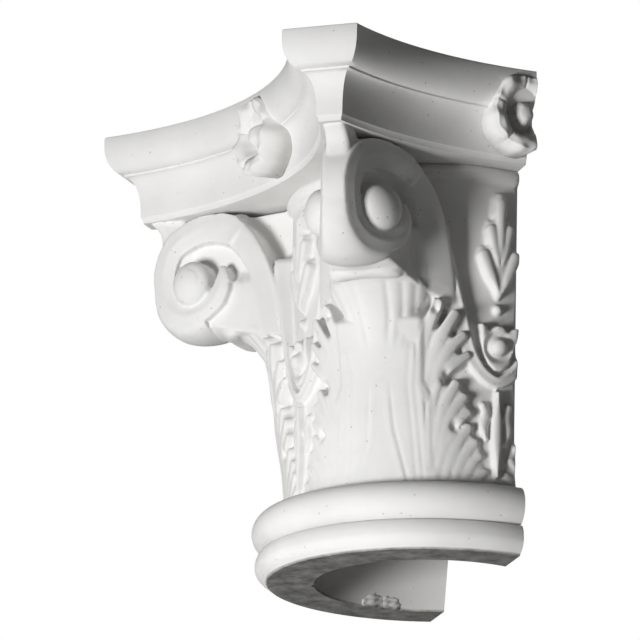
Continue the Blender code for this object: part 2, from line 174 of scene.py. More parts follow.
def turned(name, profile, steps):
    """A profile of radius and height turned round the axis and closed flat at both ends."""
    turns = [2 * math.pi * step / steps for step in range(steps)]
    return skin(name, [
        [(radius * math.cos(turn), radius * math.sin(turn), height) for turn in turns]
        for radius, height in profile
    ])


def arc(centre, radii, start, end, steps):
    """Points along part of an ellipse, from one angle in degrees to another."""
    rows = []
    for step in range(steps + 1):
        angle = math.radians(mix(start, end, step / steps))
        rows.append((centre[0] + radii[0] * math.cos(angle), centre[1] + radii[1] * math.sin(angle)))
    return rows


def path_field(across, up, knots, steps=6):
    """Distance in mm to a smooth path of angle and height, the side and the share of the path's length."""
    curve = smooth_curve(knots, steps)
    x = np.radians(curve[:, 0]) * RELIEF_RADIUS
    z = curve[:, 1]
    lengths = np.hypot(np.diff(x), np.diff(z))
    total = lengths.sum()
    reached = np.concatenate([[0], np.cumsum(lengths)]) / total
    nearest = np.full(across.shape, 1e9)
    side = np.zeros(across.shape)
    share = np.zeros(across.shape)
    for i in range(len(x) - 1):
        run = np.array([x[i + 1] - x[i], z[i + 1] - z[i]])
        t = ((across - x[i]) * run[0] + (up - z[i]) * run[1]) / (run @ run)
        t = np.clip(t, 0, 1)
        gap_x, gap_z = across - x[i] - t * run[0], up - z[i] - t * run[1]
        gap = np.hypot(gap_x, gap_z)
        closer = gap < nearest
        nearest = np.where(closer, gap, nearest)
        side = np.where(closer, np.sign(run[1] * gap_x - run[0] * gap_z), side)
        share = np.where(closer, mix(reached[i], reached[i + 1], t), share)
    return nearest, side, share


def finger(across, up, body, knots, half_width, tip_width, crown, edge=1.8, foot_width=None):
    """Relief of one rounded finger of a leaf, which stands on the leaf's body."""
    gap, _, share = path_field(across, up, knots)
    foot_width = half_width * 0.5 if foot_width is None else foot_width
    width = mix(foot_width, half_width, smooth_step(share * 2.2))
    width = mix(width, tip_width, smooth_step(share * 2.5 - 1.5))
    cover = smooth_step((width - gap) / edge + 0.5)
    dome = np.sqrt(np.clip(1 - (gap / (width + 0.4)) ** 2, 0, 1))
    fade = smooth_step(share * 4)
    return cover * (body + crown * (dome - 0.75) * fade)


def carving_relief():
    """Relief in mm above the bell on a grid of angle off the diagonal and height."""
    angles = np.arange(0, 45 + ANGLE_STEP / 2, ANGLE_STEP)
    heights = np.arange(CARVED_FOOT, CARVED_TOP + ROW_STEP / 2, ROW_STEP)
    angle, up = np.meshgrid(angles, heights)
    across = np.radians(angle) * RELIEF_RADIUS
    relief = np.zeros(angle.shape)

    # Middle of the corner leaf, which leaves the bell and curls out under the volute
    leaf_profile = np.array([
        (45, 3.5), (80, 7.0), (100, 10.5), (131, 14.5), (147, 17.5), (162, 21.5), (172, 26.0), (180, 32.0),
        (186, 38.0), (190, 44.0), (194, 49.0), (197, 49.0), (199, 40.0), (202, 24.0), (206, 8.0), (210, 0.0),
    ])
    middle = np.interp(up, leaf_profile[:, 0], leaf_profile[:, 1])
    fold = np.array([
        (45, 21.5), (60, 18.0), (112, 16.5), (122, 14.0), (150, 13.6), (165, 14.0), (173, 14.8), (177, 16.5),
        (181, 17.5), (186, 18.0), (190, 16.5), (193, 14.5), (196, 12.5), (199, 11.5), (210, 11.0),
    ])
    half = np.interp(up, fold[:, 0], fold[:, 1])
    crown = np.clip(1 - (angle / (half + 0.8)) ** 2, 0, 1) ** 0.32
    curled = smooth_step((up - 140) / 25)
    blade = middle * mix(1.0, crown, curled)
    blade_cover = smooth_step((half - angle) / 1.6 + 0.5)
    # Ribs: a narrow tongue up the middle, two soft folds beside it, and folds that fan out to the curl
    rib_line = np.interp(up, (50, 72, 88, 110, 124), (10.4, 7.2, 5.1, 4.2, 3.8))
    rib_fade = smooth_step((126 - up) / 25)
    blade -= 0.9 * np.exp(-((angle - rib_line) / 0.55) ** 2) * rib_fade
    blade += 0.45 * np.exp(-((angle - rib_line + 1.6) / 1.1) ** 2) * rib_fade
    for foot, top, depth in ((13.6, 10.2, 0.55), (16.2, 12.8, 0.5)):
        line = np.interp(up, (50, 120, 150, 185), (foot, top, top + 1.2, top * 0.62))
        blade -= depth * np.exp(-((angle - line) / 0.7) ** 2) * smooth_step((178 - up) / 30)
    for place in (4.6, 8.8, 12.4):
        line = np.interp(up, (128, 165, 196), (place * 0.5, place, place * 1.15))
        groove_fade = smooth_step((up - 140) / 22) * smooth_step((200 - up) / 6)
        blade -= 1.3 * np.exp(-((angle - line) / 0.9) ** 2) * groove_fade
    relief = np.maximum(relief, blade_cover * blade)

    # Side lobes, as fingers that fan out from the folds in three tiers
    body = np.interp(up, (45, 60, 80, 97, 131, 147, 162, 176), (3.2, 3.8, 6.0, 8.5, 11.5, 13.5, 17.0, 20.0))
    body = body * mix(1.0, 0.62, smooth_step((angle - 20) / 16))
    # Past the fold the surface falls off softly from the blade
    body = np.maximum(body, middle * 0.95 * (1 - smooth_step((angle - half) / 9)))
    fingers = [
        # Lower tier, from the inner finger to the outer
        [
            ([(20.5, 48), (21.5, 62), (24.0, 76), (27.6, 84)], 4.6, 3.0),
            ([(24.0, 48), (25.5, 62), (29.0, 79), (33.2, 90)], 4.9, 3.7),
            ([(27.8, 48), (29.4, 60), (32.4, 72), (36.0, 80)], 4.7, 3.5),
            ([(31.4, 47), (32.8, 57), (35.2, 66), (38.0, 71)], 4.3, 3.2),
            ([(34.8, 46), (36.0, 52), (38.0, 57), (40.2, 60)], 4.0, 2.9),
        ],
        # Middle tier
        [
            ([(18.2, 56), (18.4, 85), (19.2, 106), (21.2, 120)], 4.0, 3.2),
            ([(19.8, 60), (20.8, 84), (23.4, 104), (27.8, 121)], 4.6, 3.7),
            ([(21.8, 66), (23.8, 86), (26.8, 101), (31.0, 112)], 4.6, 3.6),
            ([(24.4, 74), (26.8, 88), (29.8, 96), (33.0, 101)], 4.2, 3.1),
        ],
        # Upper tier
        [
            ([(14.6, 104), (14.8, 128), (16.2, 152), (20.5, 176)], 4.4, 4.0),
            ([(16.6, 110), (17.8, 130), (21.2, 150), (26.6, 169)], 4.8, 3.9),
            ([(18.8, 118), (21.0, 132), (25.0, 145), (30.0, 155)], 4.5, 3.5),
            ([(21.6, 124), (24.4, 131), (28.2, 137), (32.0, 142)], 4.0, 3.0),
        ],
    ]
    for tier in fingers:
        gaps = []
        for knots, half_width, tip_width in tier:
            relief = np.maximum(
                relief, finger(across, up, body, knots, half_width, tip_width, 1.7, foot_width=3.4))
            gaps.append(path_field(across, up, knots)[0])
        # The blade goes on between two fingers until they part near their tips
        gaps = np.sort(gaps, axis=0)
        web = smooth_step((12.6 - gaps[0] - gaps[1]) / 2.5)
        relief = np.maximum(relief, web * (body - 0.8))
    beside_blade = smooth_step((half + 5.5 - angle) / 3.0) * smooth_step((178 - up) / 16)
    relief = np.maximum(relief, beside_blade * (body - 0.8))
    # Drilled eyes in the hollows between the tiers
    for eye_angle, eye_height, size, depth in (
            (19.8, 172.0, 2.2, 6.0), (27.6, 90.5, 2.5, 4.5), (24.2, 126.5, 2.5, 5.0), (31.0, 122.5, 1.8, 2.5),
            (22.6, 123.0, 1.6, 2.0)):
        away = np.hypot(across - math.radians(eye_angle) * RELIEF_RADIUS, (up - eye_height) * 0.8)
        relief = relief - depth * np.exp(-(away / size) ** 2)
    relief = np.maximum(relief, -1.0)

    # Stem: a rounded band with a deep channel on the side of the face's middle
    stem = [
        (48.0, 124.6), (43.5, 125.4), (39.6, 129.6), (36.2, 136.4), (33.0, 146.0), (30.0, 161.0),
        (26.6, 180.0), (23.6, 200.0), (21.4, 216.0), (20.0, 230.0),
    ]
    gap, side, share = path_field(across, up, stem)
    signed = gap * side
    width = np.interp(share, (0, 0.2, 0.5, 0.8, 1), (4.0, 4.6, 6.8, 8.0, 8.0))
    stand = np.interp(share, (0, 0.15, 0.35, 0.5, 0.65, 0.8, 1), (4.6, 5.0, 6.2, 7.5, 9.0, 10.5, 12.5))
    inside = np.clip(1 - (gap / (width + 0.6)) ** 2, 0, 1)
    band = stand * mix(0.80, 1.0, inside ** 0.5)
    band += 1.3 * np.exp(-((signed - width + 2.0) / 1.4) ** 2)
    cover = smooth_step((width - gap) / 0.9 + 0.5)
    channel_width = np.interp(share, (0, 0.15, 0.4, 1), (3.0, 4.5, 7.5, 13.0))
    beyond = signed - width
    channel = -5.5 * smooth_step(beyond / 1.2 + 0.4) * smooth_step((channel_width - beyond) / 3.5)
    channel *= smooth_step((share - 0.08) / 0.08)
    relief = np.where(side > 0, relief + channel, relief)
    relief = np.maximum(relief, np.where(cover > 0.02, cover * band, -9))

    # Palmette above the curls: a leaf of five lobes with eyes between them, and a bead under it
    centre = 45.0
    aside = np.abs(across - math.radians(centre) * RELIEF_RADIUS)
    palmette_half = np.interp(
        up,
        (184, 186, 192, 198, 204, 210, 213, 216, 221, 224, 226, 232, 238, 242, 244.5, 250, 257, 261, 263.5),
        (0, 1.5, 4, 7, 10, 13, 15, 16, 15.5, 13, 10.5, 9.8, 10.2, 9.0, 6.8, 6.2, 5.8, 3.5, 0.05))
    rounded = np.clip(1 - (aside / (palmette_half + 0.3)) ** 2, 0, 1) ** 0.35
    palmette = 5.6 * rounded * smooth_step((up - 184) / 6) * smooth_step((263.5 - up) / 3)
    relief = np.maximum(relief, np.where(aside < palmette_half + 0.3, palmette, -9))
    spray = [
        ([(centre - 1.0, 192), (centre - 4.2, 205), (centre - 6.6, 216)], 4.2, 4.6, 6.4),
        ([(centre - 0.8, 210), (centre - 2.6, 224), (centre - 3.8, 235)], 3.8, 4.0, 6.4),
        ([(centre, 215), (centre, 238), (centre, 254)], 3.6, 4.4, 6.8),
    ]
    for knots, half_width, tip_width, rise in spray:
        relief = np.maximum(relief, finger(
            across, up, np.full(up.shape, rise), knots, half_width, tip_width, 3.4, edge=1.5, foot_width=1.8))
    palmette_eyes = ((centre - 5.9, 224.5, 2.0, 5.0), (centre - 3.4, 243.0, 1.8, 5.0))
    for eye_angle, eye_height, size, depth in palmette_eyes:
        away = np.hypot(across - math.radians(eye_angle) * RELIEF_RADIUS, up - eye_height)
        relief = relief - depth * np.exp(-(away / size) ** 2)

    # Leafy cup that the two curls hold, with a bud in it
    middle_x = math.radians(centre) * RELIEF_RADIUS
    away = np.hypot((across - middle_x) / 1.05, up - 150)
    cup_top = 162 + 4.0 * np.abs(np.cos((across - middle_x) / 4.6))
    cup_half = np.interp(up, (133, 138, 146, 158, 168), (3.0, 8.5, 12.0, 14.5, 15.5))
    cup_cover = smooth_step((cup_half - np.abs(across - middle_x)) / 1.4 + 0.5)
    cup_cover *= smooth_step((cup_top - up) / 1.6 + 0.5) * smooth_step((up - 132) / 1.5)
    cup = 5.5 + 2.2 * smooth_step((up - 146) / 14) - 3.4 * np.exp(-((away - 8.5) / 2.4) ** 2)
    cup_groove = np.exp(-(np.abs(np.sin((across - middle_x) / 4.6)) / 0.35 - 2.9) ** 2)
    cup -= 1.4 * cup_groove * smooth_step((up - 156) / 5)
    cup += 4.6 * np.sqrt(np.clip(1 - (away / 5.6) ** 2, 0, 1))
    relief = np.maximum(relief, cup_cover * cup)
    away = np.hypot(across - middle_x, up - 178.5)
    relief = np.maximum(relief, 5.0 * np.sqrt(np.clip(1 - (away / 3.8) ** 2, 0, 1)))

    # Spear and two small bent leaves low on the middle of the face
    low_leaves = [
        ([(centre, 58), (centre, 88), (centre, 117)], 3.8, 1.6, 5.4),
        ([(centre - 4.2, 84), (centre - 5.4, 92), (centre - 4.4, 101), (centre - 5.6, 108)], 3.6, 2.8, 3.2),
    ]
    for knots, half_width, tip_width, rise in low_leaves:
        relief = np.maximum(relief, finger(
            across, up, np.full(up.shape, rise), knots, half_width, tip_width, 2.6, edge=1.6, foot_width=1.4))
    return heights, relief


def carved_bell():
    """The carved wall of the bell as a closed solid, from a little inside the ring to inside the abacus."""
    heights, relief = carving_relief()
    spread = np.arange(-ANGLE_END, ANGLE_END + ANGLE_STEP / 2, ANGLE_STEP)
    fold = np.abs((spread + 360) % 90 - 45)
    column = np.rint(fold / ANGLE_STEP).astype(int)
    turns = np.radians(spread) - math.pi / 2
    # Hand work: no two leaves come out quite alike
    sway = 0.5 * MM * (np.sin(turns * 7.3 + 1.1) + np.sin(turns * 12.7 + 0.4))
    loops = []
    inner = [(CARVED_INSIDE * math.cos(turn), CARVED_INSIDE * math.sin(turn)) for turn in turns[::-8]]
    for row, height in enumerate(heights):
        radius = bell_radius(height * MM) + relief[row][column] * MM
        lift = sway * math.sin(height * 0.06)
        loop = [
            (r * math.cos(t), r * math.sin(t), height * MM + s)
            for r, t, s in zip(radius, turns, lift)
        ]
        loop += [(x, y, height * MM) for x, y in inner]
        loops.append(loop)
    return skin("carved bell", loops)


def flank_offset(reach):
    """How far the volute wedge's flank stands off the diagonal at a reach."""
    return FRONT_BAND_HALF + (FRONT_BAND_REACH - reach) * FLANK_SLOPE


# The spiral band on a volute's flank, from the stem up over the top, down the front and in under the button:
# reach, height, half width and crest above the flank's plane, in mm
SPIRAL = np.array([
    (103.0, 178, 8.0, 7.0), (106.0, 188, 9.0, 8.0), (108.5, 199, 10.0, 8.5), (112.0, 213, 10.0, 8.5),
    (117.0, 227, 10.0, 8.5), (124.0, 241, 10.0, 8.0), (133.0, 254, 10.0, 6.5), (146.0, 265, 10.0, 3.0),
    (162.0, 269.5, 10.0, 1.0), (177.0, 269.0, 10.0, 0.0), (195.3, 260.6, 9.5, 0.0), (203.0, 244, 9.0, 0.0),
    (202.3, 229, 8.3, 0.0), (199.1, 216.2, 8.0, 0.5), (189.1, 208.0, 7.3, 1.5), (177.0, 205.7, 6.7, 3.2),
    (165.0, 208.3, 6.6, 4.8), (155.0, 216.3, 6.6, 5.6), (150.4, 226.7, 5.6, 5.0), (151.5, 236.0, 2.4, 3.0),
])
BUTTON_HALF = 16.3


def spiral_field(reach, height):
    """Distance in mm to the spiral's middle line, the side, half width, crest and place along it."""
    curve = smooth_curve(SPIRAL, 6)
    nearest = np.full(reach.shape, 1e9)
    side, half, crest, along = (np.zeros(reach.shape) for _ in range(4))
    for i in range(len(curve) - 1):
        run = curve[i + 1, :2] - curve[i, :2]
        t = np.clip(((reach - curve[i, 0]) * run[0] + (height - curve[i, 1]) * run[1]) / (run @ run), 0, 1)
        gap_x, gap_z = reach - curve[i, 0] - t * run[0], height - curve[i, 1] - t * run[1]
        gap = np.hypot(gap_x, gap_z)
        width, stand = mix(curve[i, 2], curve[i + 1, 2], t), mix(curve[i, 3], curve[i + 1, 3], t)
        closer = gap - width < nearest - half
        nearest = np.where(closer, gap, nearest)
        side = np.where(closer, np.sign(run[0] * gap_z - run[1] * gap_x), side)
        half, crest = np.where(closer, width, half), np.where(closer, stand, crest)
        along = np.where(closer, (i + t) / (len(curve) - 1), along)
    return nearest, side, half, crest, along


def flank_relief(reach, height):
    """Relief in mm on a volute's flank, measured from the flank's plane."""
    reach, height = reach / MM, height / MM
    gap, side, half, crest, along = spiral_field(reach, height)
    place = np.minimum(gap / half, 1.0)
    # The band's edges turn down, and a soft ridge follows its middle on the front
    band = crest - 1.3 * place ** 2 + 0.7 * np.exp(-(gap / 2.4) ** 2) * smooth_step((along - 0.42) / 0.1)
    slope = mix(10.0, 4.0, smooth_step((height - 226) / 28))
    stem = crest - slope * (np.clip(1 - side * place, 0, 2) / 2) ** 1.2
    stem -= 3.2 * np.clip((side * place - 0.45) / 0.55, 0, 1) ** 2
    band = np.where(along < 0.34, stem, band)
    band = np.where(gap > half + np.where(along > 0.36, 0.9, 0.0), -40, band)
    out_x, out_z = reach - EYE_REACH / MM, height - EYE_HEIGHT / MM
    away = np.hypot(out_x, out_z)
    turn = np.degrees(np.arctan2(out_x, out_z)) % 360
    # Deep recess over the button, and a shallower web under it that slopes down from the stem
    web = np.where(along < 0.36, np.maximum(crest - slope - 0.3 * np.maximum(gap - half, 0), -3.5), -2.5)
    floor = mix(-9.5, web, smooth_step((236 - height) / 13) * smooth_step((170 - reach) / 10))
    floor = np.where((side > 0) & (along < 0.36) & (gap > half), -17.0, floor)
    button = 0.5 + 13.5 * np.sqrt(np.clip(1 - (away / BUTTON_HALF) ** 2, 0, 1)) ** 0.9
    coil = 15.5 - 6.5 * smooth_step((turn - 20) / 300)
    button -= 0.9 * np.exp(-((away - coil) / 1.0) ** 2) * smooth_step((turn - 225) / 40)
    button = np.where(away < BUTTON_HALF, button, -40)
    return np.maximum(np.maximum(band, floor), button)


def volute_outline(count):
    """Reach and height round a volute wedge, from the top through the front and the foot to the bell."""
    turns = np.radians(np.linspace(-20, 200, 90))
    radius = np.interp(np.degrees(turns), (-20, 0, 30, 60, 90, 120, 150, 180, 200),
                       (53.2, 50, 46, 39.5, 33.8, 33.5, 31.5, 30.0, 30.5)) * MM
    points = np.stack([EYE_REACH + radius * np.sin(turns), EYE_HEIGHT + radius * np.cos(turns)], 1).tolist()
    points += [(0.160, 0.1975), (0.148, 0.193), (0.124, 0.186), (0.088, 0.176), (0.088, 0.2765),
               (0.120, 0.2765), (0.133, 0.2765), (0.143, 0.2790)]
    points = np.array(points + points[:1])
    lengths = np.hypot(*np.diff(points, axis=0).T)
    reached = np.concatenate([[0], np.cumsum(lengths)])
    places = np.linspace(0, reached[-1], count, endpoint=False)
    return np.stack([np.interp(places, reached, points[:, 0]), np.interp(places, reached, points[:, 1])], 1)


def volute_wedge(corner):
    """A corner volute: two carved flanks and the smooth band between them, which swells under the spiral."""
    outline = volute_outline(300)
    rings = 70
    loops = []

    def flank_loop(share, flank):
        reach = mix(EYE_REACH, outline[:, 0], share)
        height = mix(EYE_HEIGHT, outline[:, 1], share)
        offset = flank_offset(reach) + flank_relief(reach, height) * MM
        return [corner_point(r, o, h, flank, corner) for r, o, h in zip(reach, offset, height)]

    for ring in range(1, rings + 1):
        loops.append(flank_loop(ring / rings, 1))
    edge_offset = flank_offset(outline[:, 0]) + flank_relief(outline[:, 0], outline[:, 1]) * MM
    out_x, out_z = outline[:, 0] - EYE_REACH, outline[:, 1] - EYE_HEIGHT
    away = np.hypot(out_x, out_z)
    turn = np.degrees(np.arctan2(out_x, out_z)) % 360
    swell = np.interp(turn, (0, 80, 110, 135, 160, 180, 200, 225, 250, 360),
                      (0, 0.8, 2.4, 5.5, 8.5, 9.5, 9.0, 5.0, 0, 0)) * MM
    steps = 18
    for step in range(1, steps):
        share = math.cos(math.pi * step / steps)
        grow = 1 + swell * math.sqrt(1 - share ** 2) / away
        loops.append([
            corner_point(r, o * share, h, 1, corner)
            for r, o, h in zip(EYE_REACH + out_x * grow, edge_offset, EYE_HEIGHT + out_z * grow)
        ])
    for ring in range(rings, 0, -1):
        loops.append(flank_loop(ring / rings, -1))
    return skin("volute", loops)


def post(corner):
    """The volute's front band carried on up to the underside of the horn above it."""
    loops = []
    stations = smooth_curve([
        (0.226, 0.2030, 0.0070), (0.240, 0.2082, 0.0088), (0.252, 0.2085, 0.0100), (0.262, 0.2072, 0.0100),
        (0.270, 0.2078, 0.0095), (0.276, 0.2112, 0.0088), (0.281, 0.2165, 0.0084), (0.289, 0.2175, 0.0082),
    ], 4)
    for height, reach, half in stations:
        loop = []
        for i in range(40):
            turn = 2 * math.pi * i / 40
            c, s = math.cos(turn), math.sin(turn)
            x = math.copysign(abs(c) ** 0.4, c)
            y = math.copysign(abs(s) ** 0.4, s)
            loop.append(corner_point(reach - 0.014 + 0.014 * x, half * y, height, 1, corner))
        loops.append(loop)
    return skin("post", loops)


def leaf_lip(corner):
    """The rolled lip along the tip of a corner leaf."""
    loops = []
    steps = 28
    for step in range(steps + 1):
        share = mix(-1, 1, step / steps)
        turn = math.radians(10.5 * share)
        thick = 0.0078 * math.sqrt(max(1 - abs(share) ** 4 * 0.90, 0.05))
        radius = 0.1490 - 0.004 * share ** 2
        height = 0.1950 - 0.003 * share ** 2
        loop = []
        for i in range(16):
            angle = 2 * math.pi * i / 16
            r = radius + thick * math.cos(angle) * 1.1
            loop.append(corner_point(
                r * math.cos(turn), r * math.sin(turn), height + thick * math.sin(angle), 1, corner))
        loops.append(loop)
    return skin("leaf lip", loops)


def join(objects, name):
    bpy.ops.object.select_all(action="DESELECT")
    for piece in objects:
        piece.select_set(True)
    bpy.context.view_layer.objects.active = objects[0]
    bpy.ops.object.join()
    joined = bpy.context.view_layer.objects.active
    joined.name = name
    return joined


def apply_modifiers(piece):
    """Replaces a piece's mesh with the mesh that its modifiers make."""
    graph = bpy.context.evaluated_depsgraph_get()
    mesh = bpy.data.meshes.new_from_object(piece.evaluated_get(graph))
    piece.modifiers.clear()
    piece.data = mesh
    return piece


def cut_behind(piece, margin=0.0):
    """Cuts a closed piece off flat at the back plane and closes the cut."""
    work = bmesh.new()
    work.from_mesh(piece.data)
    geometry = work.verts[:] + work.edges[:] + work.faces[:]
    place = BACK_NORMAL * (BACK_OFFSET + margin)
    found = bmesh.ops.bisect_plane(work, geom=geometry, plane_co=place, plane_no=BACK_NORMAL, clear_outer=True)
    edges = [item for item in found["geom_cut"] if isinstance(item, bmesh.types.BMEdge) and item.is_boundary]
    filled = bmesh.ops.triangle_fill(work, edges=edges, use_beauty=True, normal=BACK_NORMAL)
    for item in filled["geom"]:
        if isinstance(item, bmesh.types.BMFace):
            item.smooth = False
    bmesh.ops.recalc_face_normals(work, faces=work.faces)
    work.to_mesh(piece.data)
    work.free()
    return piece


def subtract(piece, cutters):
    for cutter in cutters:
        modifier = piece.modifiers.new("cut", "BOOLEAN")
        modifier.operation = "DIFFERENCE"
        modifier.solver = "EXACT"
        modifier.object = cutter
    apply_modifiers(piece)
    return piece


def hollow():
    """The hollow as a cutter, a little longer than the part."""
    past = 0.05
    taper = (BORE_MOUTH_RADIUS - BORE_RADIUS) / BORE_TAPER_HEIGHT
    return turned("hollow", [
        (BORE_MOUTH_RADIUS + taper * past, -past),
        (BORE_RADIUS + taper * 0.004, BORE_TAPER_HEIGHT - 0.004),
        (BORE_RADIUS, BORE_TAPER_HEIGHT + 0.004),
        (BORE_RADIUS, HEIGHT + past),
    ], 160)


def abacus_outline(inset, height, steps):
    """The abacus outline at an inset from its top edge: four hollow sides and four cut corners."""
    sag = HORN_REACH - FACE_REACH
    radius = (HORN_SIDE ** 2 + sag ** 2) / (2 * sag)
    reach = (HORN_REACH + HORN_SIDE) / math.sqrt(2) - inset
    centre = FACE_REACH + radius
    grown = radius + inset
    along = centre / math.sqrt(2)
    half_width = along - math.sqrt(grown ** 2 - (reach - along) ** 2)
    corner = (reach + half_width) / math.sqrt(2), (reach - half_width) / math.sqrt(2)
    swing = math.asin(corner[1] / grown)
    points = []
    for face in range(4):
        turn = math.pi / 2 * face
        for step in range(steps + 1):
            angle = mix(-swing, swing, step / steps)
            x, y = centre - grown * math.cos(angle), grown * math.sin(angle)
            points.append((
                x * math.cos(turn) - y * math.sin(turn), x * math.sin(turn) + y * math.cos(turn), height))
    return points


def abacus(cutter):
    foot = HEIGHT - ABACUS_HEIGHT
    round_height, hollow_height, edge_height, fillet = 0.019, 0.023, 0.008, 0.0015
    round_inset = MOULDING_INSET * 0.5
    hollow_inset = MOULDING_INSET * 0.42
    round_foot = HEIGHT - edge_height - round_height
    rows = [(0.0016, HEIGHT), (0.0005, HEIGHT - 0.0005), (0.0, HEIGHT - 0.0016), (0.0, HEIGHT - edge_height)]
    for step in range(1, 11):
        angle = math.radians(9 * step)
        height = HEIGHT - edge_height - round_height * math.sin(angle)
        rows.append((round_inset * (1 - math.cos(angle)), height))
    rows += [(round_inset, round_foot - fillet)]
    for step in range(1, 11):
        angle = math.radians(9 * step)
        rows.append((
            round_inset + hollow_inset * math.sin(angle),
            round_foot - fillet - hollow_height * (1 - math.cos(angle)),
        ))
    rows += [(MOULDING_INSET - 0.0017, foot + 0.0042), (MOULDING_INSET - 0.0004, foot + 0.0022),
             (MOULDING_INSET, foot)]
    made = skin("abacus", [abacus_outline(inset, height, 48) for inset, height in rows])
    cut_behind(subtract(made, [cutter]))
    made.data.set_sharp_from_angle(angle=math.radians(28))
    return made


def ring(cutter):
    """The ring at the foot, with a nail hole at the mouth of its hollow."""
    half_lower = LOWER_TORUS_HEIGHT / 2
    half_upper = (RING_HEIGHT - LOWER_TORUS_HEIGHT) / 2
    lower_width = LOWER_TORUS_RADIUS - UNDERSIDE_RADIUS
    profile = [(UNDERSIDE_RADIUS + lower_width * 0.45, 0.0)]
    profile += arc((UNDERSIDE_RADIUS, half_lower), (lower_width, half_lower), -58, 0, 10)
    profile += arc((GROOVE_RADIUS, half_lower), (LOWER_TORUS_RADIUS - GROOVE_RADIUS, half_lower), 15, 90, 8)
    upper_middle = LOWER_TORUS_HEIGHT + half_upper
    profile += arc((RING_TOP_RADIUS, upper_middle), (RING_RADIUS - RING_TOP_RADIUS, half_upper), -78, 90, 24)
    profile += [(0.106, RING_HEIGHT), (0.100, RING_HEIGHT)]
    made = turned("ring", profile, 200)
    nail_hole = turned("nail hole", [(0.0040, -0.01), (0.0046, 0.002), (0.0034, 0.012)], 24)
    nail_hole.location = NAIL_HOLE
    bpy.context.view_layer.update()
    cut_behind(subtract(made, [cutter, nail_hole]))
    bpy.data.objects.remove(nail_hole)
    made.data.set_sharp_from_angle(angle=math.radians(32))
    return made


def fleuron(face):
    """The rosette in the middle of an abacus side: a thick plug with a cupped, ruffled front and a boss."""
    turn = -math.pi / 2 + face * math.pi / 2
    outward = Vector((math.cos(turn), math.sin(turn), 0))
    sideways = Vector((-outward.y, outward.x, 0))
    middle = HEIGHT - ABACUS_HEIGHT / 2 - 0.0005
    centre = outward * (FACE_REACH - MOULDING_INSET * 0.72) + Vector((0, 0, middle))
    columns, rings = 220, 60
    angle = np.linspace(0, 2 * math.pi, columns, endpoint=False)
    petals, narrow, sunk = 5, 0.90, 0.004
    wave = np.cos(petals * angle + math.pi)
    ruffle = 0.35 * np.cos(3 * petals * angle)
    outline = 0.0280 + 0.0009 * wave + 0.0004 * ruffle
    loops = []
    for ring_index in range(1, rings + 1):
        share = ring_index / rings
        away = outline * share
        dome = 0.0140 + 0.0065 * smooth_step((share - 0.35) / 0.45)
        petal = 0.0016 * smooth_step(share * 3.2 - 0.9) * wave
        petal += 0.0012 * smooth_step(share * 4 - 2.8) * np.cos(11 * angle + 0.6)
        vein = -0.0011 * np.exp(-((np.abs(np.sin(petals * angle / 2))) / 0.13) ** 2)
        vein *= smooth_step(share * 4 - 1.6)
        cup = -0.0070 * np.exp(-((share - 0.42) / 0.13) ** 2)
        boss = 0.0060 * math.sqrt(max(1 - (share / 0.32) ** 2, 0))
        edge = -0.0025 * smooth_step((share - 0.93) / 0.07)
        height = dome + petal + vein + cup + boss + edge
        loops.append([
            centre + outward * h + sideways * a * narrow * math.sin(t) + Vector((0, 0, a * math.cos(t)))
            for h, a, t in zip(height, away, angle)
        ])
    # The back of the plug, sunk in the moulding
    for share in (0.98, 0.3):
        loops.append([
            centre - outward * sunk + sideways * a * narrow * share * math.sin(t)
            + Vector((0, 0, a * share * math.cos(t)))
            for a, t in zip(outline, angle)
        ])
    made = skin("fleuron_" + ("left", "front", "right")[face + 1], loops)
    if face:
        cut_behind(made, -2 * CUT_STEP)
    return made


def plaster_lumps():
    """Drips of plaster left on the wall of the hollow, near its mouth."""
    work = bmesh.new()
    for x, y, height, size in ((-0.0605, -0.0570, 0.003, 0.0042), (-0.0820, -0.0060, 0.004, 0.0080),
                               (-0.0818, 0.0060, 0.004, 0.0066)):
        turn = Matrix.Rotation(math.atan2(y, x), 4, "Z")
        place = Matrix.Translation((x, y, height)) @ turn @ Matrix.Diagonal((0.30, 1.3, 1.0, 1))
        bmesh.ops.create_icosphere(work, subdivisions=4, radius=size, matrix=place)
    for vertex in work.verts:
        x, y, z = (vertex.co / MM)[:]
        bump = math.sin(x * 0.9 + y * 0.7) + math.sin(y * 1.1 - z * 1.3) + math.sin(z * 1.7 + x * 0.5)
        vertex.co += vertex.co.normalized() * bump * 0.35 * MM
        vertex.co.z = max(vertex.co.z, 0.0002)
    mesh = bpy.data.meshes.new("plaster_lumps")
    work.to_mesh(mesh)
    work.free()
    mesh.shade_smooth()
    made = bpy.data.objects.new("plaster_lumps", mesh)
    bpy.context.scene.collection.objects.link(made)
    return made


def fused_carving():
    """Everything carved between the ring and the abacus, fused at a fine grid and cut off flat behind."""
    pieces = [carved_bell()]
    for corner in (-1, 1):
        pieces += [volute_wedge(corner), post(corner), leaf_lip(corner)]
    fused = join(pieces, "carving")
    remesh = fused.modifiers.new("fuse", "REMESH")
    remesh.mode = "VOXEL"
    remesh.voxel_size = VOXEL * 1
    soften = fused.modifiers.new("soften", "SMOOTH")
    soften.factor = 0.5
    soften.iterations = 2
    apply_modifiers(fused)
    cut_behind(fused, -CUT_STEP)
    # Flat places give up their triangles first
    reduce = fused.modifiers.new("reduce", "DECIMATE")
    reduce.ratio = min(1, MOST_TRIANGLES / sum(len(face.vertices) - 2 for face in fused.data.polygons))
    apply_modifiers(fused)
    fused.data.shade_smooth()
    return fused


def node(tree, kind, **inputs):
    made = tree.nodes.new(kind)
    for name, value in inputs.items():
        made.inputs[name.replace("_", " ")].default_value = value
    return made


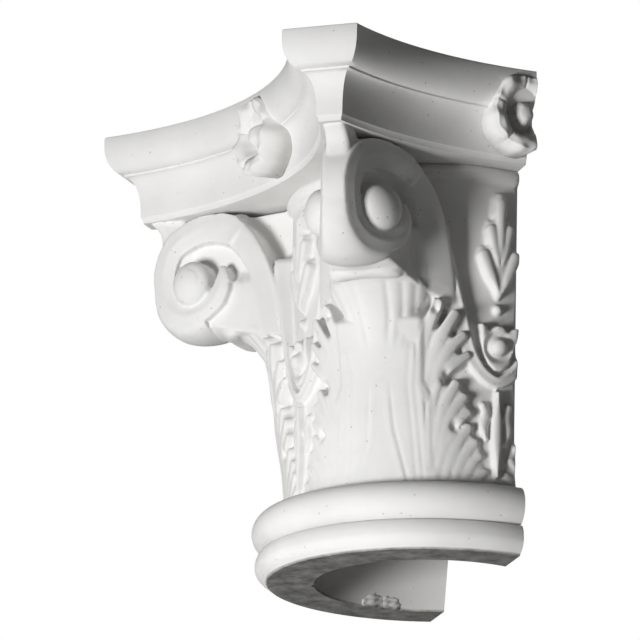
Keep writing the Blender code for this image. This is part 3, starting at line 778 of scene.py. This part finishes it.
def plaster_material():
    """White cast plaster: faint clouding, fine grain, scattered pinholes and a dusty, matt surface, with
    painted shade on the underside and on the hollow's wall.
    """
    material = bpy.data.materials.new("plaster")
    material.use_nodes = True
    tree = material.node_tree
    shader = tree.nodes["Principled BSDF"]
    shader.inputs["Specular IOR Level"].default_value = 0.25
    place = tree.nodes.new("ShaderNodeTexCoord")
    clouds = node(tree, "ShaderNodeTexNoise", Scale=14.0, Detail=4.0, Roughness=0.6)
    grain = node(tree, "ShaderNodeTexNoise", Scale=900.0, Detail=3.0, Roughness=0.6)
    lumps = node(tree, "ShaderNodeTexNoise", Scale=160.0, Detail=2.0, Roughness=0.5)
    holes = node(tree, "ShaderNodeTexVoronoi", Scale=115.0)
    for texture in (clouds, grain, lumps, holes):
        tree.links.new(place.outputs["Object"], texture.inputs["Vector"])
    colour = tree.nodes.new("ShaderNodeValToRGB")
    colour.color_ramp.elements[0].position = 0.30
    colour.color_ramp.elements[0].color = (0.74, 0.735, 0.72, 1)
    colour.color_ramp.elements[1].position = 0.70
    colour.color_ramp.elements[1].color = (0.83, 0.825, 0.81, 1)
    tree.links.new(clouds.outputs["Fac"], colour.inputs["Fac"])
    pit = tree.nodes.new("ShaderNodeMapRange")
    pit.inputs["From Min"].default_value = 0.035
    pit.inputs["From Max"].default_value = 0.09
    tree.links.new(holes.outputs["Distance"], pit.inputs["Value"])
    dusty = tree.nodes.new("ShaderNodeMix")
    dusty.data_type = "RGBA"
    dusty.inputs[6].default_value = (0.50, 0.49, 0.47, 1)
    tree.links.new(pit.outputs["Result"], dusty.inputs[0])
    tree.links.new(colour.outputs["Color"], dusty.inputs[7])
    # Painted shade: the underside is darkened in blotches, and the hollow's wall is painted a little grey
    split = tree.nodes.new("ShaderNodeSeparateXYZ")
    tree.links.new(place.outputs["Object"], split.inputs[0])
    underside_shade_blotches = node(tree, "ShaderNodeTexNoise", Scale=70.0, Detail=6.0, Roughness=0.7)
    tree.links.new(place.outputs["Object"], underside_shade_blotches.inputs["Vector"])
    # Painted shade for the underside: dark greys, in blotches
    underside_shade_ramp = tree.nodes.new("ShaderNodeValToRGB")
    underside_shade_ramp.color_ramp.elements[0].position = 0.35
    underside_shade_ramp.color_ramp.elements[0].color = (0.20, 0.198, 0.19, 1)
    underside_shade_ramp.color_ramp.elements[1].position = 0.68
    underside_shade_ramp.color_ramp.elements[1].color = (0.44, 0.435, 0.42, 1)
    tree.links.new(underside_shade_blotches.outputs["Fac"], underside_shade_ramp.inputs["Fac"])
    # Mask for the painted underside shade: the lowest two millimetres of the part
    low = tree.nodes.new("ShaderNodeMapRange")
    low.inputs["From Min"].default_value = 0.0006
    low.inputs["From Max"].default_value = 0.0018
    low.inputs["To Min"].default_value = 1.0
    low.inputs["To Max"].default_value = 0.0
    tree.links.new(split.outputs["Z"], low.inputs["Value"])
    flat_place = tree.nodes.new("ShaderNodeCombineXYZ")
    tree.links.new(split.outputs["X"], flat_place.inputs["X"])
    tree.links.new(split.outputs["Y"], flat_place.inputs["Y"])
    radius = tree.nodes.new("ShaderNodeVectorMath")
    radius.operation = "LENGTH"
    tree.links.new(flat_place.outputs[0], radius.inputs[0])
    # Mask for the painted shade on the hollow's wall: everything inside the bore's mouth turns grey
    inside = tree.nodes.new("ShaderNodeMapRange")
    inside.inputs["From Min"].default_value = BORE_MOUTH_RADIUS + 0.0002
    inside.inputs["From Max"].default_value = BORE_MOUTH_RADIUS + 0.0006
    inside.inputs["To Min"].default_value = 0.9
    inside.inputs["To Max"].default_value = 0.0
    tree.links.new(radius.outputs["Value"], inside.inputs["Value"])
    hollow_shade_mix = tree.nodes.new("ShaderNodeMix")
    hollow_shade_mix.data_type = "RGBA"
    hollow_shade_mix.inputs[7].default_value = (0.52, 0.515, 0.50, 1)
    tree.links.new(inside.outputs["Result"], hollow_shade_mix.inputs[0])
    tree.links.new(dusty.outputs[2], hollow_shade_mix.inputs[6])
    # Mixes the painted underside shade over the rest
    underside_shade_mix = tree.nodes.new("ShaderNodeMix")
    underside_shade_mix.data_type = "RGBA"
    tree.links.new(low.outputs["Result"], underside_shade_mix.inputs[0])
    tree.links.new(hollow_shade_mix.outputs[2], underside_shade_mix.inputs[6])
    tree.links.new(underside_shade_ramp.outputs["Color"], underside_shade_mix.inputs[7])
    tree.links.new(underside_shade_mix.outputs[2], shader.inputs["Base Color"])
    rough = tree.nodes.new("ShaderNodeMapRange")
    rough.inputs["To Min"].default_value = 0.72
    rough.inputs["To Max"].default_value = 0.92
    tree.links.new(clouds.outputs["Fac"], rough.inputs["Value"])
    tree.links.new(rough.outputs["Result"], shader.inputs["Roughness"])
    last = None
    for source, strength, distance in (
            (grain.outputs["Fac"], 0.25, 0.0002), (lumps.outputs["Fac"], 0.30, 0.0004),
            (pit.outputs["Result"], 0.5, 0.0005)):
        bump = node(tree, "ShaderNodeBump", Strength=strength, Distance=distance)
        tree.links.new(source, bump.inputs["Height"])
        if last:
            tree.links.new(last.outputs["Normal"], bump.inputs["Normal"])
        last = bump
    tree.links.new(last.outputs["Normal"], shader.inputs["Normal"])
    return material


def floor_material():
    """A pale floor that is seen and lit only from above, because the camera looks up from below it."""
    material = bpy.data.materials.new("floor")
    material.use_nodes = True
    tree = material.node_tree
    shader = tree.nodes["Principled BSDF"]
    shader.inputs["Base Color"].default_value = (0.86, 0.86, 0.86, 1)
    shader.inputs["Roughness"].default_value = 0.9
    output = tree.nodes["Material Output"]
    clear = tree.nodes.new("ShaderNodeBsdfTransparent")
    choose = tree.nodes.new("ShaderNodeMixShader")
    geometry = tree.nodes.new("ShaderNodeNewGeometry")
    path = tree.nodes.new("ShaderNodeLightPath")
    either = tree.nodes.new("ShaderNodeMath")
    either.operation = "MAXIMUM"
    tree.links.new(geometry.outputs["Backfacing"], either.inputs[0])
    tree.links.new(path.outputs["Is Shadow Ray"], either.inputs[1])
    tree.links.new(either.outputs[0], choose.inputs[0])
    tree.links.new(shader.outputs[0], choose.inputs[1])
    tree.links.new(clear.outputs[0], choose.inputs[2])
    tree.links.new(choose.outputs[0], output.inputs["Surface"])
    return material


def stage():
    """Floor, light and camera."""
    bpy.ops.mesh.primitive_plane_add(size=6, location=(0, 0, -0.0005))
    floor = bpy.context.object
    floor.name = "floor"
    floor.data.materials.append(floor_material())

    bpy.context.scene.view_settings.view_transform = "Standard"
    world = bpy.data.worlds.new("studio")
    bpy.context.scene.world = world
    world.use_nodes = True
    tree = world.node_tree
    tree.nodes.clear()
    output = tree.nodes.new("ShaderNodeOutputWorld")
    seen = node(tree, "ShaderNodeBackground", Color=(1, 1, 1, 1), Strength=1.0)
    lit = node(tree, "ShaderNodeBackground", Color=(1, 1, 1, 1), Strength=0.015)
    path = tree.nodes.new("ShaderNodeLightPath")
    choose = tree.nodes.new("ShaderNodeMixShader")
    tree.links.new(path.outputs["Is Camera Ray"], choose.inputs[0])
    tree.links.new(lit.outputs[0], choose.inputs[1])
    tree.links.new(seen.outputs[0], choose.inputs[2])
    tree.links.new(choose.outputs[0], output.inputs["Surface"])

    target = Vector((0, -0.06, 0.18))
    # Name, direction from the target, distance in metres, side in metres and power in watts
    lights = (
        ("key", (0.42, -0.90, -0.37), 2.4, 0.6, 54.0),
        ("fill", (0.95, -0.30, -0.35), 3.0, 1.5, 2.2),
        ("top", (-0.3, 0.1, 0.9), 3.0, 2.0, 9.0),
        ("behind", (-0.5, 0.9, 0.5), 3.0, 2.0, 24.0),
    )
    for name, direction, distance, size, power in lights:
        light = bpy.data.lights.new(name, "AREA")
        light.energy = power
        light.size = size
        made = bpy.data.objects.new(name, light)
        bpy.context.scene.collection.objects.link(made)
        direction = Vector(direction).normalized()
        made.location = target + direction * distance
        made.rotation_euler = direction.to_track_quat("Z", "Y").to_euler()

    camera = bpy.data.cameras.new("camera")
    camera.sensor_width = 36
    camera.lens = 450
    camera.clip_end = 50
    made = bpy.data.objects.new("camera", camera)
    bpy.context.scene.collection.objects.link(made)
    azimuth, elevation, roll = math.radians(65.309), math.radians(-14.678), math.radians(0.926)
    back = Vector((math.sin(azimuth) * math.cos(elevation), -math.cos(azimuth) * math.cos(elevation),
                   math.sin(elevation)))
    right = Vector((math.cos(azimuth), math.sin(azimuth), 0))
    up = back.cross(right)
    rolled_right = right * math.cos(roll) + up * math.sin(roll)
    rolled_up = up * math.cos(roll) - right * math.sin(roll)
    place = Vector((4.9783, -2.3785, -1.2519))
    made.matrix_world = Matrix([
        (rolled_right[i], rolled_up[i], back[i], place[i]) for i in range(3)
    ] + [(0, 0, 0, 1)])
    bpy.context.scene.camera = made


def main():
    plaster = plaster_material()
    cutter = hollow()
    pieces = [fused_carving(), abacus(cutter), ring(cutter)]
    pieces += [fleuron(face) for face in (-1, 0, 1)] + [plaster_lumps()]
    bpy.data.objects.remove(cutter)
    for piece in pieces:
        piece.data.materials.clear()
        piece.data.materials.append(plaster)
        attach(piece, "root")
        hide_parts("capital")
        print(piece.name, len(piece.data.polygons), "faces")
    stage()


main()
